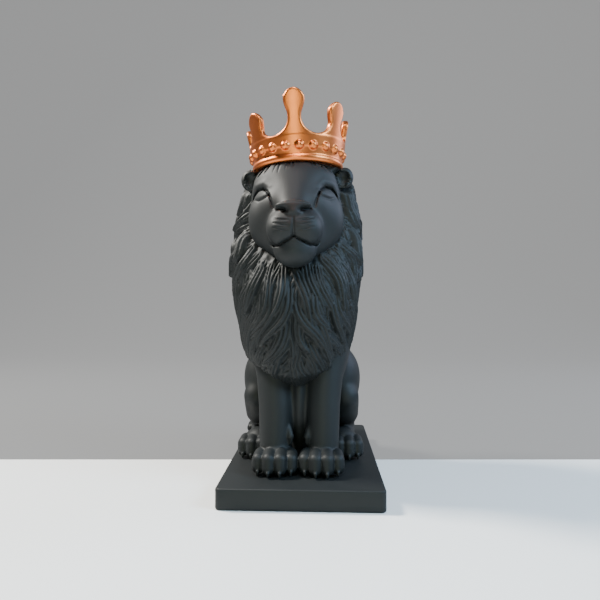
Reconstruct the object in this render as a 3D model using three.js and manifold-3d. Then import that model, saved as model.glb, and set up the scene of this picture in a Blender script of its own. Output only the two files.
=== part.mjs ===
// A seated lion with a crown, on a rectangular plinth: a cast resin figurine.
// Millimetres, +Z up. The lion faces -Y, and the origin is at the middle of the plinth's underside.
import * as THREE from "three";
import Module from "manifold-3d";

// Plinth
const PLINTH_WIDTH = 94;
const PLINTH_LENGTH = 150;
const PLINTH_THICKNESS = 12;
const PLINTH_CORNER_RADIUS = 2.2;
const PLINTH_EDGE_ROUND = 1.2;

// Lion: LION_HEIGHT is from the plinth to the top of the skull. The figure is drawn 200 units high.
const LION_HEIGHT = 200;
const LION_SHIFT = -2.2;
const DRAWN_HEIGHT = 200;
const UNIT = LION_HEIGHT / DRAWN_HEIGHT;

// Crown
const CROWN_RADIUS = 28.4;
const CROWN_WALL = 4.4;
const CROWN_FLARE = 0.2;
const CROWN_BAND_HEIGHT = 15.6;
const CROWN_BAND_SLOPE = 0.055;
const CROWN_RIM_HEIGHT = 4.8;
const CROWN_RIM_PROUD = 1.5;
const CROWN_GAP = 0.3;
const CROWN_ROLL = THREE.MathUtils.degToRad(1.8);
const BEAD_COUNT = 22;
const BEAD_RADIUS = 3;
const BEAD_LEVEL = 9.4;
const BEAD_START = 0.29;
const BEAD_SUNK = 0.9;
const PRONG_TOPS = [42, 37.3, 35.6, 35, 33.4, 31.6, 33];
const PRONG_KNOB_RADIUS = 6.15;
const PRONG_NECK_WIDTH = 8.2;
const PRONG_FOOT_SPREAD = 7.4;
const PRONG_FOOT_HEIGHT = 9;

const wasm = await Module();
wasm.setup();

// Repeatable scatter between 0 and 1 for the number i.
function scatter(i) {
  const s = Math.sin(i * 12.9898) * 43758.5453;
  return s - Math.floor(s);
}

const clamp = THREE.MathUtils.clamp;

// Joins two distances with a fillet about `blend` wide.
function smoothMin(a, b, blend) {
  if (blend <= 0) return Math.min(a, b);
  const h = Math.max(blend - Math.abs(a - b), 0) / blend;
  return Math.min(a, b) - (h * h * blend) / 4;
}

// A shape is { center, reach, distance }: a ball that holds it, and its signed distance at a point.
function ellipsoid(center, radii) {
  const [cx, cy, cz] = center;
  const [rx, ry, rz] = radii;
  return {
    center,
    reach: Math.max(rx, ry, rz),
    distance(x, y, z) {
      const px = (x - cx) / rx;
      const py = (y - cy) / ry;
      const pz = (z - cz) / rz;
      const near = Math.hypot(px, py, pz);
      const slope = Math.hypot(px / rx, py / ry, pz / rz);
      return slope > 0 ? (near * (near - 1)) / slope : -Math.min(rx, ry, rz);
    },
  };
}

// A tapering bar through `points` with a radius at each, `wide` times as wide in X as it is thick.
function limb(points, radii, wide = 1) {
  const box = new THREE.Box3().setFromPoints(points.map((p) => new THREE.Vector3(...p)));
  const ball = box.getBoundingSphere(new THREE.Sphere());
  return {
    center: ball.center.toArray(),
    reach: ball.radius + Math.max(...radii) * Math.max(wide, 1),
    distance(x, y, z) {
      let best = Infinity;
      for (let i = 1; i < points.length; i++) {
        const [ax, ay, az] = points[i - 1];
        const [bx, by, bz] = points[i];
        const dx = (bx - ax) / wide;
        const dy = by - ay;
        const dz = bz - az;
        const px = (x - ax) / wide;
        const py = y - ay;
        const pz = z - az;
        const t = clamp((px * dx + py * dy + pz * dz) / (dx * dx + dy * dy + dz * dz), 0, 1);
        const away = Math.hypot(px - t * dx, py - t * dy, pz - t * dz);
        best = Math.min(best, away - radii[i - 1] - t * (radii[i] - radii[i - 1]));
      }
      return best * Math.min(wide, 1);
    },
  };
}

// The same shape, moved by a matrix that holds no scale.
function placed(shape, matrix) {
  const e = matrix.clone().invert().elements;
  return {
    center: new THREE.Vector3(...shape.center).applyMatrix4(matrix).toArray(),
    reach: shape.reach,
    distance: (x, y, z) =>
      shape.distance(
        e[0] * x + e[4] * y + e[8] * z + e[12],
        e[1] * x + e[5] * y + e[9] * z + e[13],
        e[2] * x + e[6] * y + e[10] * z + e[14],
      ),
  };
}

// The same shape, turned about its own centre: degrees about X, then Y, then Z.
function turned(shape, aboutX, aboutY = 0, aboutZ = 0) {
  const angles = [aboutX, aboutY, aboutZ].map(THREE.MathUtils.degToRad);
  const center = new THREE.Vector3(...shape.center);
  const matrix = new THREE.Matrix4()
    .makeTranslation(center)
    .multiply(new THREE.Matrix4().makeRotationFromEuler(new THREE.Euler(...angles, "ZYX")))
    .multiply(new THREE.Matrix4().makeTranslation(center.clone().negate()));
  return placed(shape, matrix);
}

// A block of modelling clay: the signed distance to the figure's surface on a grid.
const CLAY_CELL = 1.6;
const CLAY_LOW = [-50, -66, -8];
const CLAY_HIGH = [50, 74, 212];
const CLAY_FAR = 12;

class Clay {
  constructor() {
    this.size = CLAY_LOW.map((low, axis) => Math.ceil((CLAY_HIGH[axis] - low) / CLAY_CELL) + 1);
    this.field = new Float32Array(this.size[0] * this.size[1] * this.size[2]).fill(CLAY_FAR);
  }

  at(axis, i) {
    return CLAY_LOW[axis] + i * CLAY_CELL;
  }

  // Calls change(old, distance) at the grid points near the shape.
  work(shape, margin, change) {
    const [nx, ny] = this.size;
    const span = [0, 1, 2].map((axis) => {
      const near = (shape.center[axis] - shape.reach - margin - CLAY_LOW[axis]) / CLAY_CELL;
      const far = (shape.center[axis] + shape.reach + margin - CLAY_LOW[axis]) / CLAY_CELL;
      return [Math.max(Math.floor(near), 0), Math.min(Math.ceil(far), this.size[axis] - 1)];
    });
    for (let k = span[2][0]; k <= span[2][1]; k++)
      for (let j = span[1][0]; j <= span[1][1]; j++)
        for (let i = span[0][0]; i <= span[0][1]; i++) {
          const n = i + nx * (j + ny * k);
          const d = shape.distance(this.at(0, i), this.at(1, j), this.at(2, k));
          this.field[n] = change(this.field[n], d);
        }
  }

  add(shape, blend = 0) {
    this.work(shape, blend + 2 * CLAY_CELL, (old, d) => smoothMin(old, d, blend));
  }

  carve(shape, blend = 0) {
    this.work(shape, blend + 2 * CLAY_CELL, (old, d) => -smoothMin(-old, d, blend));
  }

  join(other, blend) {
    for (let n = 0; n < this.field.length; n++)
      this.field[n] = smoothMin(this.field[n], other.field[n], blend);
  }
}

const SIDES = [-1, 1];

// Trunk: chest, belly and rump, leaning back to the seat.
function shapeTrunk(clay) {
  clay.add(ellipsoid([0, -13, 94], [30, 28, 34]));
  clay.add(turned(ellipsoid([0, 8, 70], [32, 28, 50]), 30), 10);
  clay.add(ellipsoid([0, 29, 36], [33, 32, 38]), 14);
  clay.add(ellipsoid([0, -2, 39], [22, 27, 42]), 5);
}

// Hind leg: thigh folded forward, shin back down to the hock, and a long foot flat on the plinth.
function shapeHindLeg(clay, side) {
  clay.add(turned(ellipsoid([side * 24, 20, 44], [16, 31, 26]), 24, 0, side * 6), 5);
  clay.add(ellipsoid([side * 26.5, 13, 52], [13.5, 22, 17]), 6);
  clay.add(limb([[side * 30.5, -4, 38], [side * 32, 12, 24], [side * 31.5, 34, 12]], [8.6, 8, 6.5]), 4);
  clay.add(limb([[side * 31, 38, 8], [side * 29.5, 4, 7], [side * 28.4, -8, 8]], [8, 7.5, 9]), 3);
  shapePaw(clay, side * 28.5, -26, 24.5);
}

// Front leg: straight down from the shoulder, with the elbow behind and a dewclaw inside the wrist.
function shapeFrontLeg(clay, side) {
  clay.add(turned(ellipsoid([side * 19.5, -14, 80], [13.5, 20, 32]), -8), 6);
  const bones = [[side * 17, -25, 66], [side * 15, -32, 38], [side * 14.8, -36, 16]];
  clay.add(limb(bones, [11.5, 10.4, 9.8]), 4);
  clay.add(ellipsoid([side * 18, -14, 58], [9, 11, 13]), 5);
  clay.add(limb([[side * 6.8, -38, 25], [side * 5.2, -40.5, 20], [side * 5, -41, 16]], [2.4, 2.3, 1]), 1);
  shapePaw(clay, side * 13.8, -60, 26.6);
}

// Paw: a pad with four toes side by side and a claw in front of each. `tip` is the Y of the claws.
// Each toe is [place across in toe pitches, set back, set lower].
const TOES = [[-1.42, 3.4, 0.9], [-0.5, 0, 0], [0.5, 0, 0], [1.42, 3.4, 0.9]];
const TOE_SHARE = 3.9;
function shapePaw(clay, middle, tip, width) {
  clay.add(ellipsoid([middle, tip + 21, 7.5], [width * 0.45, 15, 9]), 3);
  for (const [across, back, drop] of TOES) {
    const x = middle + (across * width) / TOE_SHARE;
    const y = tip + back;
    const knuckle = [x * 0.94 + middle * 0.06, y + 14, 10.4 - drop];
    clay.add(limb([knuckle, [x, y + 6.4, 9.6 - drop], [x, y + 4.8, 5.4]], [4.3, 3.9, 3.3]), 0.3);
    clay.add(limb([[x, y + 4.2, 3.6], [x, y + 2.4, 1]], [2.1, 1.5]), 0.3);
  }
}

// Tail: round the back of the left haunch, flat on the plinth, with a tuft at its end.
const TAIL_ROUTE = [
  [4, 58, 14], [-6, 64, 7], [-20, 63.5, 4.5], [-32, 58, 4.5], [-39, 49, 4.5], [-40.5, 41, 5],
];
function shapeTail(clay) {
  clay.add(limb(TAIL_ROUTE, [6.5, 5, 4.4, 4.2, 5.2, 3.2]), 2);
}

// Head, drawn about the middle of the skull and lifted a little at the chin.
const HEAD_CENTER = [-2.5, -16, 160];
const HEAD_TURN = [-2, -1.2, 0];
const headFrame = new THREE.Matrix4()
  .makeTranslation(...HEAD_CENTER)
  .multiply(
    new THREE.Matrix4().makeRotationFromEuler(
      new THREE.Euler(...HEAD_TURN.map(THREE.MathUtils.degToRad), "ZYX"),
    ),
  );

function shapeHead(clay) {
  const add = (shape, blend) => clay.add(placed(shape, headFrame), blend);
  const carve = (shape, blend) => clay.carve(placed(shape, headFrame), blend);

  add(ellipsoid([0, 2, 8], [29.5, 31, 33]));
  add(ellipsoid([0, -13, 16], [25.5, 15, 15]), 6);
  add(ellipsoid([0, -18, -20], [20, 18, 15]), 5);
  for (const side of SIDES) add(ellipsoid([side * 16, -10, -6], [14.4, 18, 21]), 6);
  add(limb([[0, -8, 28.5], [0, -16, 23], [0, -26, 10], [0, -36.3, -3]], [11, 11, 9.2, 6], 1.5), 5);
  for (const side of SIDES) add(ellipsoid([side * 12.5, -24, -2], [7, 9, 11]), 6);
  add(ellipsoid([0, -31, -14.5], [16, 15, 11.5]), 4);
  add(ellipsoid([0, -32.5, -29], [12.5, 11, 9.8]), 3.5);
  for (const side of SIDES) {
    add(ellipsoid([side * 7.6, -36, -16.6], [8.6, 9.6, 9.4]), 2);
    shapeEye(add, carve, side);
    add(shapeEar(side), 2);
    carve(turned(ellipsoid([side * 31, -5, 21.8], [4.2, 4.6, 5.4]), 0, side * 14, side * 24), 1);
  }

  add(ellipsoid([0, -42.2, -4], [10.8, 5.2, 3.6]), 0.8);
  for (const side of SIDES)
    carve(limb([[side * 4, -48, -7], [side * 8.4, -45.4, -5.4]], [1.5, 1.3]), 0.6);
  carve(limb([[0, -48.2, -10], [0, -46.5, -21]], [0.8, 1]), 0.8);
  for (const side of SIDES)
    carve(limb([[0, -46, -21.6], [side * 6, -43.6, -24.8], [side * 11, -38.5, -26.4],
      [side * 14.5, -31, -24]], [1.2, 1.2, 1.2, 0.9]), 0.8);
}

// Eye: a hollow under an arched brow, with the eyeball in it.
function shapeEye(add, carve, side) {
  carve(turned(ellipsoid([side * 20.6, -30, 7], [7, 7.6, 4.6]), 0, side * 8), 1);
  add(ellipsoid([side * 20, -20.6, 6.2], [5.6, 5.4, 4.4]), 0.3);
}

function shapeEar(side) {
  return turned(ellipsoid([side * 31.4, -0.5, 23.2], [6, 4, 7]), 0, side * 14, side * 24);
}

// Mane: stations from the hem up, [height, half width, reach in front, reach behind] of MANE_AXIS_Y.
const MANE_AXIS_Y = -8;
const MANE_STATIONS = [
  [46, 13, 30, 4],
  [56, 22, 36, 6],
  [68, 29, 40, 16],
  [84, 33.5, 42, 30],
  [104, 36.5, 42, 38],
  [124, 37.2, 36, 42],
  [142, 37, 26, 43],
  [158, 35.8, 18, 41],
  [172, 34, 16, 37],
  [184, 30, 18, 31],
  [192, 25, 16, 25],
  [199, 12, 8, 12],
];
const MANE_ARC_RADIUS = 42;
const LOCK_WIDTH = 12.5;
const LOCK_LENGTH = 42;
const LOCK_HEIGHT = 5;
const LOCK_STEPS = 10;
const FACE_LEVEL = 158;
const FACE_RING = [40, 33];
const RING_STEP = 17;
const RING_COUNT = 9;

const { smoothstep } = THREE.MathUtils;

// The mane stands straight at the head and a little to one side below it.
const maneAxisX = (z) => -0.8 - 1.8 * (1 - smoothstep(z, 140, 172));

function maneReach(angle, z) {
  const last = MANE_STATIONS.length - 1;
  let i = 1;
  while (i < last && MANE_STATIONS[i][0] < z) i++;
  const near = [i - 2, i - 1, i, i + 1].map((n) => MANE_STATIONS[clamp(n, 0, last)]);
  const [before, below, above, after] = near;
  const wide = above[0] - below[0];
  const t = clamp((z - below[0]) / wide, 0, 1);
  // A smooth curve through the stations.
  const mix = (n) => {
    const start = ((above[n] - before[n]) / (above[0] - before[0])) * wide;
    const end = ((after[n] - below[n]) / (after[0] - below[0])) * wide;
    const ends = below[n] * (1 + 2 * t) * (1 - t) ** 2 + above[n] * t * t * (3 - 2 * t);
    return ends + start * t * (1 - t) ** 2 - end * t * t * (1 - t);
  };
  const sine = Math.abs(Math.sin(angle)) / mix(1);
  const cosine = Math.abs(Math.cos(angle)) / mix(Math.cos(angle) > 0 ? 2 : 3);
  return (sine ** 2.3 + cosine ** 2.3) ** (-1 / 2.3);
}

// Height above the plinth of the mane's lower edge at a place s round it.
function maneHem(s) {
  const turn = Math.abs(s) / (Math.PI * MANE_ARC_RADIUS);
  return 52 + 46 * turn ** 1.2;
}

// Which way the hair runs at a place round the mane: out from the face, then down, and on the chest
// outwards from a parting in the middle.
function combed(s, z) {
  const out = Math.hypot(s / FACE_RING[0], (z - FACE_LEVEL) / FACE_RING[1]);
  const away = Math.exp(-Math.max(out - 1, 0) * 2.4);
  const parted = (0.12 + 0.75 * (1 - smoothstep(z, 86, 104))) * (1 - smoothstep(Math.abs(s), 40, 75));
  const spread = parted + 0.12 * (1 - smoothstep(Math.abs(s), 60, 130));
  const ds = (s / FACE_RING[0] / out) * away + Math.tanh(s / 7) * spread * (1 - away);
  const dz = ((z - FACE_LEVEL) / FACE_RING[1] / out) * away - (1 - away) - 0.2;
  const length = Math.hypot(ds, dz);
  return [ds / length, dz / length];
}

// Each lock is a wavy path round the mane, flattened out to [s, z].
function lockPaths() {
  const paths = [];
  let seed = 1;
  for (let ring = 0; ring < RING_COUNT; ring++) {
    const a = FACE_RING[0] + ring * RING_STEP;
    const b = FACE_RING[1] + ring * RING_STEP;
    const count = Math.round((Math.PI * (a + b)) / (LOCK_WIDTH * 0.92));
    for (let i = 0; i < count; i++) {
      seed += 1;
      const turn = ((i + 0.5 * (ring % 2) + 0.3 * scatter(seed)) / count) * 2 * Math.PI;
      let s = Math.sin(turn) * a;
      let z = FACE_LEVEL + Math.cos(turn) * b;
      if (Math.abs(s) > Math.PI * MANE_ARC_RADIUS || z > 188 || z < maneHem(s) + 8) continue;
      const phase = scatter(seed + 0.37) * 2 * Math.PI;
      const sway = 0.25 + 0.3 * scatter(seed + 0.71);
      const length = LOCK_LENGTH * (0.8 + 0.45 * scatter(seed + 0.13));
      const path = [[s, z]];
      for (let n = 0; n < LOCK_STEPS; n++) {
        const [ds, dz] = combed(s, z);
        const wave = sway * Math.sin(phase + (n / LOCK_STEPS) * 1.6 * Math.PI);
        s += ((ds - wave * dz) * length) / LOCK_STEPS;
        z += ((dz + wave * ds) * length) / LOCK_STEPS;
        path.push([s, z]);
      }
      paths.push({ path, width: LOCK_WIDTH * (0.85 + 0.3 * scatter(seed + 0.9)), seed });
    }
  }
  return paths;
}

// The locks' height above the mane, on a flat map of the mane's surface.
const MAP_CELL = 0.9;
const MAP_COLUMNS = Math.round((2 * Math.PI * MANE_ARC_RADIUS) / MAP_CELL);
const MAP_LOW = 30;
const MAP_ROWS = Math.round((210 - MAP_LOW) / MAP_CELL);

function lockProfile(t, u, seed) {
  const rise = Math.min(t / 0.25, 1) * (1 - 0.45 * t) * Math.min((1 - t) / 0.1, 1);
  return LOCK_HEIGHT * (0.75 + 0.4 * scatter(seed + 0.5)) * rise * Math.sqrt(1 - u * u);
}

function combMane() {
  const map = new Float32Array(MAP_COLUMNS * MAP_ROWS);
  for (const { path, width, seed } of lockPaths()) {
    const half = width / 2;
    const column = (s) => (s / MAP_CELL + MAP_COLUMNS * 1.5);
    const row = (z) => (z - MAP_LOW) / MAP_CELL;
    const left = Math.floor(column(Math.min(...path.map((p) => p[0])) - half));
    const right = Math.ceil(column(Math.max(...path.map((p) => p[0])) + half));
    const bottom = Math.max(Math.floor(row(Math.min(...path.map((p) => p[1])) - half)), 0);
    const top = Math.min(Math.ceil(row(Math.max(...path.map((p) => p[1])) + half)), MAP_ROWS - 1);
    for (let r = bottom; r <= top; r++)
      for (let c = left; c <= right; c++) {
        const s = (c - MAP_COLUMNS * 1.5) * MAP_CELL;
        const z = MAP_LOW + r * MAP_CELL;
        let best = Infinity;
        let along = 0;
        for (let i = 1; i < path.length; i++) {
          const [as, az] = path[i - 1];
          const ds = path[i][0] - as;
          const dz = path[i][1] - az;
          const t = clamp(((s - as) * ds + (z - az) * dz) / (ds * ds + dz * dz), 0, 1);
          const away = Math.hypot(s - as - t * ds, z - az - t * dz);
          if (away < best) {
            best = away;
            along = (i - 1 + t) / (path.length - 1);
          }
        }
        const taper = Math.cos((Math.PI / 2) * clamp((along - 0.35) / 0.65, 0, 1) ** 1.6);
        const u = best / (half * taper + 0.01);
        if (u >= 1) continue;
        const n = (c % MAP_COLUMNS) + MAP_COLUMNS * r;
        map[n] = Math.max(map[n], lockProfile(along, u, seed));
      }
  }
  return map;
}

function maneShape() {
  const map = combMane();
  const lookUp = (angle, z) => {
    const c = (angle * MANE_ARC_RADIUS) / MAP_CELL + MAP_COLUMNS * 1.5;
    const r = clamp((z - MAP_LOW) / MAP_CELL, 0, MAP_ROWS - 1.001);
    const c0 = Math.floor(c);
    const r0 = Math.floor(r);
    const at = (i, j) => map[(i % MAP_COLUMNS) + MAP_COLUMNS * j];
    const low = at(c0, r0) * (c0 + 1 - c) + at(c0 + 1, r0) * (c - c0);
    const high = at(c0, r0 + 1) * (c0 + 1 - c) + at(c0 + 1, r0 + 1) * (c - c0);
    return low * (r0 + 1 - r) + high * (r - r0);
  };
  return {
    center: [0, -4, 122],
    reach: 82,
    distance(x, y, z) {
      const angle = Math.atan2(x - maneAxisX(z), MANE_AXIS_Y - y);
      const hem = maneHem(angle * MANE_ARC_RADIUS);
      const skin = clamp((hem - z) / 6, 0, 1) * 4;
      const out = Math.hypot(x - maneAxisX(z), y - MANE_AXIS_Y);
      const across = out - maneReach(angle, z) - lookUp(angle, z) + skin;
      const ends = Math.max(46 - z, z - 200);
      return Math.max(across * 0.85, ends);
    },
  };
}

// Turns the clay's zero surface into triangles, six tetrahedra to a grid cell.
const TETRAHEDRA = [
  [0, 1, 3, 7], [0, 3, 2, 7], [0, 2, 6, 7], [0, 6, 4, 7], [0, 4, 5, 7], [0, 5, 1, 7],
];

function surfaceOf(clay) {
  const [nx, ny, nz] = clay.size;
  const { field } = clay;
  const step = [0, 1, 2, 3, 4, 5, 6, 7].map((c) => (c & 1) + nx * (((c >> 1) & 1) + ny * (c >> 2)));
  const points = [];
  const faces = [];
  const known = new Map();
  const place = (n) => [
    clay.at(0, n % nx),
    clay.at(1, Math.floor(n / nx) % ny),
    clay.at(2, Math.floor(n / (nx * ny))),
  ];
  // The point where the surface crosses the edge from corner c to corner d of the cell at n.
  const crossing = (n, c, d) => {
    const [low, high] = c < d ? [c, d] : [d, c];
    const key = (n + step[low]) * 8 + (high ^ low);
    if (!known.has(key)) {
      const [a, b] = [n + step[low], n + step[high]];
      const t = clamp(field[a] / (field[a] - field[b]), 0.12, 0.88);
      const [pa, pb] = [place(a), place(b)];
      known.set(key, points.length);
      points.push(pa.map((v, i) => v + t * (pb[i] - v)));
    }
    return known.get(key);
  };
  const from = new THREE.Vector3();
  const edges = [new THREE.Vector3(), new THREE.Vector3()];
  const face = (a, b, c, inside) => {
    from.fromArray(points[a]);
    edges[0].fromArray(points[b]).sub(from);
    edges[1].fromArray(points[c]).sub(from);
    edges[0].cross(edges[1]);
    const inward = edges[1].fromArray(inside).sub(from);
    faces.push(edges[0].dot(inward) > 0 ? [a, c, b] : [a, b, c]);
  };
  for (let k = 0; k < nz - 1; k++)
    for (let j = 0; j < ny - 1; j++)
      for (let i = 0; i < nx - 1; i++) {
        const n = i + nx * (j + ny * k);
        const solid = step.map((s) => field[n + s] < 0);
        if (solid.every((v) => v === solid[0])) continue;
        for (const corners of TETRAHEDRA) {
          const inside = corners.filter((c) => solid[c]);
          const outside = corners.filter((c) => !solid[c]);
          if (!inside.length || !outside.length) continue;
          const core = place(n + step[inside[0]]);
          if (inside.length === 2) {
            const ring = [
              crossing(n, inside[0], outside[0]),
              crossing(n, inside[0], outside[1]),
              crossing(n, inside[1], outside[1]),
              crossing(n, inside[1], outside[0]),
            ];
            face(ring[0], ring[1], ring[2], core);
            face(ring[0], ring[2], ring[3], core);
          } else if (inside.length === 1) {
            face(...outside.map((c) => crossing(n, inside[0], c)), core);
          } else {
            const cut = inside.map((c) => crossing(n, c, outside[0]));
            face(...cut, core);
          }
        }
      }
  return largestPiece(points, faces);
}

// Keeps only the triangles that hang together with the most others.
function largestPiece(points, faces) {
  const root = points.map((_, i) => i);
  const find = (i) => {
    while (root[i] !== i) {
      root[i] = root[root[i]];
      i = root[i];
    }
    return i;
  };
  for (const [a, b, c] of faces) {
    root[find(a)] = find(b);
    root[find(b)] = find(c);
  }
  const tally = new Map();
  for (const [a] of faces) tally.set(find(a), (tally.get(find(a)) || 0) + 1);
  const [best] = [...tally].reduce((x, y) => (y[1] > x[1] ? y : x));
  return { points, faces: faces.filter(([a]) => find(a) === best) };
}

const FIRST_COST = 1e-3;
const COST_GROWTH = 1.8;

// Thins a closed surface to `target` triangles, taking out the edges that matter least to its form.
// careAt(point) says how much more than elsewhere the form matters there.
function thinOut({ points, faces }, target, careAt) {
  const quadrics = points.map(() => new Float64Array(10));
  const around = points.map(() => new Set());
  const stamp = new Uint32Array(points.length);
  const normal = (p, q, r) => {
    const [ux, uy, uz] = [q[0] - p[0], q[1] - p[1], q[2] - p[2]];
    const [vx, vy, vz] = [r[0] - p[0], r[1] - p[1], r[2] - p[2]];
    return [uy * vz - uz * vy, uz * vx - ux * vz, ux * vy - uy * vx];
  };
  faces.forEach((f, n) => {
    const [p, q, r] = f.map((v) => points[v]);
    const [nx, ny, nz] = normal(p, q, r);
    const area = Math.hypot(nx, ny, nz) || 1e-12;
    const [a, b, c] = [nx / area, ny / area, nz / area];
    const d = -(a * p[0] + b * p[1] + c * p[2]);
    const plane = [a * a, a * b, a * c, a * d, b * b, b * c, b * d, c * c, c * d, d * d];
    const care = area * careAt(p);
    for (const v of f) {
      around[v].add(n);
      plane.forEach((value, i) => (quadrics[v][i] += value * care));
    }
  });

  const longestSide = (corners) =>
    Math.max(...corners.map((p, i) => Math.hypot(...p.map((v, k) => v - corners[(i + 1) % 3][k]))));

  const errorAt = (q, [x, y, z]) =>
    q[0] * x * x + 2 * q[1] * x * y + 2 * q[2] * x * z + 2 * q[3] * x + q[4] * y * y +
    2 * q[5] * y * z + 2 * q[6] * y + q[7] * z * z + 2 * q[8] * z + q[9];

  // The best single point for an edge, and what it costs.
  const planFor = (u, v) => {
    const q = quadrics[u].map((value, i) => value + quadrics[v][i]);
    const matrix = new THREE.Matrix3().set(q[0], q[1], q[2], q[1], q[4], q[5], q[2], q[5], q[7]);
    const middle = points[u].map((value, i) => (value + points[v][i]) / 2);
    const length = Math.hypot(...points[u].map((value, i) => value - points[v][i]));
    const choices = [points[u], points[v], middle];
    const size = q[0] + q[4] + q[7];
    if (Math.abs(matrix.determinant()) > 1e-5 * size ** 3) {
      const best = new THREE.Vector3(-q[3], -q[6], -q[8]).applyMatrix3(matrix.invert()).toArray();
      const moved = Math.hypot(...best.map((value, i) => value - middle[i]));
      if (moved < 1.5 * length) choices.unshift(best);
    }
    const costs = choices.map((p) => errorAt(q, p));
    const pick = costs.indexOf(Math.min(...costs));
    const cost = costs[pick] + 1e-4 * length * length;
    return { cost, u, v, to: choices[pick], marks: stamp[u] + stamp[v] };
  };

  const heap = [];
  let limit = FIRST_COST;
  const swap = (i, j) => ([heap[i], heap[j]] = [heap[j], heap[i]]);
  const push = (plan) => {
    if (plan.cost > limit) return;
    let i = heap.push(plan) - 1;
    while (i > 0 && heap[(i - 1) >> 1].cost > heap[i].cost) {
      swap(i, (i - 1) >> 1);
      i = (i - 1) >> 1;
    }
  };
  const pop = () => {
    const top = heap[0];
    const last = heap.pop();
    if (heap.length) {
      heap[0] = last;
      for (let i = 0; ; ) {
        let least = i;
        for (const child of [2 * i + 1, 2 * i + 2])
          if (child < heap.length && heap[child].cost < heap[least].cost) least = child;
        if (least === i) break;
        swap(i, least);
        i = least;
      }
    }
    return top;
  };
  const neighbours = (v) => {
    const near = new Set();
    for (const n of around[v]) for (const w of faces[n]) if (w !== v) near.add(w);
    return near;
  };

  // Dearer and dearer edges are let in, round by round, so that a refused one is tried again.
  let left = faces.length;
  while (left > target) {
    if (!heap.length) {
      limit *= COST_GROWTH;
      for (const f of faces.filter(Boolean))
        for (let i = 0; i < 3; i++) if (f[i] < f[(i + 1) % 3]) push(planFor(f[i], f[(i + 1) % 3]));
      if (!heap.length) continue;
    }
    const { u, v, to, marks } = pop();
    if (!around[u].size || !around[v].size || marks !== stamp[u] + stamp[v]) continue;
    const nearU = neighbours(u);
    const shared = [...neighbours(v)].filter((w) => nearU.has(w));
    if (!nearU.has(v) || shared.length !== 2) continue;
    // A triangle that would turn over or grow thinner still keeps the edge where it is.
    const spoils = (n) => {
      const before = faces[n].map((w) => points[w]);
      const after = faces[n].map((w) => (w === u || w === v ? to : points[w]));
      const [a, b] = [normal(...before), normal(...after)];
      const [la, lb] = [Math.hypot(...a), Math.hypot(...b)];
      const turn = (a[0] * b[0] + a[1] * b[1] + a[2] * b[2]) / (la * lb || 1);
      const fullness = lb / longestSide(after) ** 2;
      return turn < 0.3 || (fullness < 0.12 && fullness < la / longestSide(before) ** 2);
    };
    const changed = [...around[u], ...around[v]].filter((n) => !(around[u].has(n) && around[v].has(n)));
    if (changed.some(spoils)) continue;
    for (const n of [...around[v]]) {
      if (around[u].has(n)) {
        for (const w of faces[n]) around[w].delete(n);
        faces[n] = null;
        left -= 1;
      } else {
        faces[n] = faces[n].map((w) => (w === v ? u : w));
        around[u].add(n);
      }
    }
    around[v].clear();
    points[u] = to;
    quadrics[v].forEach((value, i) => (quadrics[u][i] += value));
    stamp[u] += 1;
    for (const w of neighbours(u)) push(planFor(u, w));
  }
  return { points, faces: faces.filter(Boolean) };
}

// A geometry as a solid, with the points that share a place made one.
function solidOf(points, faces) {
  const vertProperties = new Float32Array(points.flat());
  const triVerts = new Uint32Array(faces.flat());
  return new wasm.Manifold(new wasm.Mesh({ numProp: 3, vertProperties, triVerts }));
}

const PLACE_STEP = 1e4;
function solidFrom(geometry) {
  const points = [];
  const known = new Map();
  const position = geometry.getAttribute("position");
  const vertex = [];
  for (let i = 0; i < position.count; i++) {
    const p = [position.getX(i), position.getY(i), position.getZ(i)];
    const key = p.map((v) => Math.round(v * PLACE_STEP) + 0).join();
    if (!known.has(key)) {
      known.set(key, points.length);
      points.push(p);
    }
    vertex.push(known.get(key));
  }
  const order = geometry.index ? [...geometry.index.array] : vertex.map((_, i) => i);
  const faces = [];
  for (let i = 0; i < order.length; i += 3) {
    const f = [vertex[order[i]], vertex[order[i + 1]], vertex[order[i + 2]]];
    if (new Set(f).size === 3) faces.push(f);
  }
  return solidOf(points, faces);
}

function geometryOf(solid) {
  const mesh = solid.getMesh();
  const position = new Float32Array(mesh.numVert * 3);
  for (let i = 0; i < mesh.numVert; i++)
    position.set(mesh.vertProperties.subarray(i * mesh.numProp, i * mesh.numProp + 3), i * 3);
  const geometry = new THREE.BufferGeometry();
  geometry.setAttribute("position", new THREE.BufferAttribute(position, 3));
  geometry.setIndex(new THREE.BufferAttribute(mesh.triVerts, 1));
  geometry.computeVertexNormals();
  return geometry;
}

// Crown: a band with a rounded rim at its foot, a row of beads and seven prongs with rounded knobs.
const CROWN_SEAT = [-3.9, -13.5, PLINTH_THICKNESS + 188];
const RING_SEGMENTS = 40;

const crownOuter = (z) => CROWN_RADIUS + CROWN_FLARE * z;
const crownInner = (z) => crownOuter(z) - CROWN_WALL;

// The band's top edge rises a little from the lion's right to its left.
const bandTop = (x) => CROWN_BAND_HEIGHT + CROWN_BAND_SLOPE * x;

function bandGeometry() {
  const rimTop = CROWN_RIM_HEIGHT;
  const proud = CROWN_RIM_PROUD;
  const profile = [
    [crownInner(0), 0],
    [crownOuter(0) + 0.5 * proud, 0],
    [crownOuter(0) + proud, 0.45 * rimTop],
    [crownOuter(rimTop), rimTop],
    [crownOuter(CROWN_BAND_HEIGHT), CROWN_BAND_HEIGHT],
    [crownInner(CROWN_BAND_HEIGHT), CROWN_BAND_HEIGHT],
    [crownInner(0), 0],
  ];
  const outline = profile.map(([r, z]) => new THREE.Vector2(r, z));
  const band = new THREE.LatheGeometry(outline, RING_SEGMENTS).rotateX(Math.PI / 2);
  const position = band.getAttribute("position");
  for (let i = 0; i < position.count; i++)
    if (position.getZ(i) > rimTop + 1) position.setZ(i, bandTop(position.getX(i)));
  return band;
}

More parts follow.
